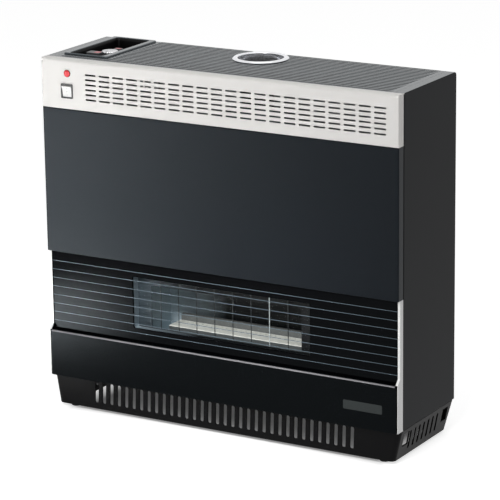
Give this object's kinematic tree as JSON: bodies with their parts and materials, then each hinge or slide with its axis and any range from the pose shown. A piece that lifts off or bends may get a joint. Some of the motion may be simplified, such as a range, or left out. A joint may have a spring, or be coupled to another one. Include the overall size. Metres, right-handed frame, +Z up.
{
  "type": "flued gas room heater",
  "caption": "Gas room heater with a slotted silver outlet band, a dark glass fire window, a slotted plinth on feet, a top grille with a round flue collar and a recessed control tray.",
  "frame": {"origin": "on the floor, under the middle of the case, at the underside of the feet", "axes": "+X to the right seen from the front, along the width; +Y to the wall behind; +Z up; the front faces -Y"},
  "size_m": [0.7, 0.2161, 0.6423],
  "materials": {
    "side_black": "satin black stoved paint",
    "front_black": "smooth black stoved paint",
    "silver_band": "fine brushed silver",
    "galvanised": "galvanised sheet",
    "bright_trim": "bright chrome",
    "collar_steel": "polished",
    "heat_steel": "heat resisting sheet, dull",
    "motor_steel": "dark plated",
    "burner_steel": "bright stainless",
    "pipe_steel": "drawn tube",
    "cast_alloy": "die cast",
    "brass": "machined",
    "copper": null,
    "knob_silver": "metallised",
    "tray_black": "satin black",
    "black_plastic": "satin moulded",
    "white_plastic": "smooth",
    "red_lens": "clear red",
    "dark_glass": "tinted, black print round the window",
    "ceramic": null,
    "terminal_cream": "moulded",
    "black_rubber": "moulded"
  },
  "bodies": {
    "case": {"side_panel_left": "side_black", "side_panel_right": "side_black", "upper_panel": "front_black", "lower_panel": "front_black", "window_surround": "front_black", "top_grille": "front_black", "outlet_band": "silver_band", "chassis_front": "galvanised", "base_pan": "galvanised", "rear_panel": "galvanised", "fan_housing": "galvanised", "trim_left": "bright_trim", "trim_right": "bright_trim", "flue_collar": "collar_steel", "firebox": "heat_steel", "heat_exchanger": "heat_steel", "flue_hood": "heat_steel", "flue_pipe": "heat_steel", "fire_guard": "heat_steel", "pilot_bracket": "heat_steel", "fan_motor": "motor_steel", "burner": "burner_steel", "inlet_pipe": "pipe_steel", "gas_valve": "cast_alloy", "burner_injector": "brass", "pilot_burner": "brass", "fan_bearing": "brass", "gas_inlet": "brass", "burner_pipe": "copper", "pilot_pipe": "copper", "probe_lead": "copper", "flame_probe": "copper", "control_tray": "tray_black", "switch_housing": "black_plastic", "lamp_body": "black_plastic", "piezo_igniter": "black_plastic", "cable_gland": "black_plastic", "plinth": "black_plastic", "lamp_lens": "red_lens", "front_glass": "dark_glass", "burner_plaque": "ceramic", "firebox_gasket": "ceramic", "spark_electrode": "ceramic", "terminal_block": "terminal_cream", "foot_front_left": "black_rubber", "foot_front_right": "black_rubber", "foot_rear_left": "black_rubber", "foot_rear_right": "black_rubber", "switch_lead": "black_rubber", "motor_lead": "black_rubber", "spark_lead": "black_rubber"},
    "knob": {"gas_knob": "knob_silver", "valve_spindle": "brass"},
    "igniter": {"igniter_button": "black_plastic"},
    "stop": {"stop_button": "black_plastic"},
    "rocker": {"switch_rocker": "white_plastic"},
    "rotor": {"fan_rotor": "galvanised"}
  },
  "joints": [
    {"name": "gas_knob_turn", "type": "hinge", "parent": "case", "child": "knob", "pos_m": [-0.2855, 0.016, 0.626], "axis": [0, 0, 1], "range_deg": [0, 270]},
    {"name": "igniter_press", "type": "slide", "parent": "case", "child": "igniter", "axis": [0, 0, -1], "range_m": [0, 0.006], "stiffness_N_per_m": 300, "springref_m": -0.004},
    {"name": "stop_press", "type": "slide", "parent": "case", "child": "stop", "axis": [0, 0, -1], "range_m": [0, 0.005], "stiffness_N_per_m": 300, "springref_m": -0.004},
    {"name": "switch_rock", "type": "hinge", "parent": "case", "child": "rocker", "pos_m": [-0.297, -0.1004, 0.5834], "axis": [1, 0, 0], "range_deg": [-20, 0]},
    {"name": "fan_spin", "type": "hinge", "parent": "case", "child": "rotor", "pos_m": [0, 0.06, 0.1082], "axis": [1, 0, 0], "continuous": true}
  ]
}
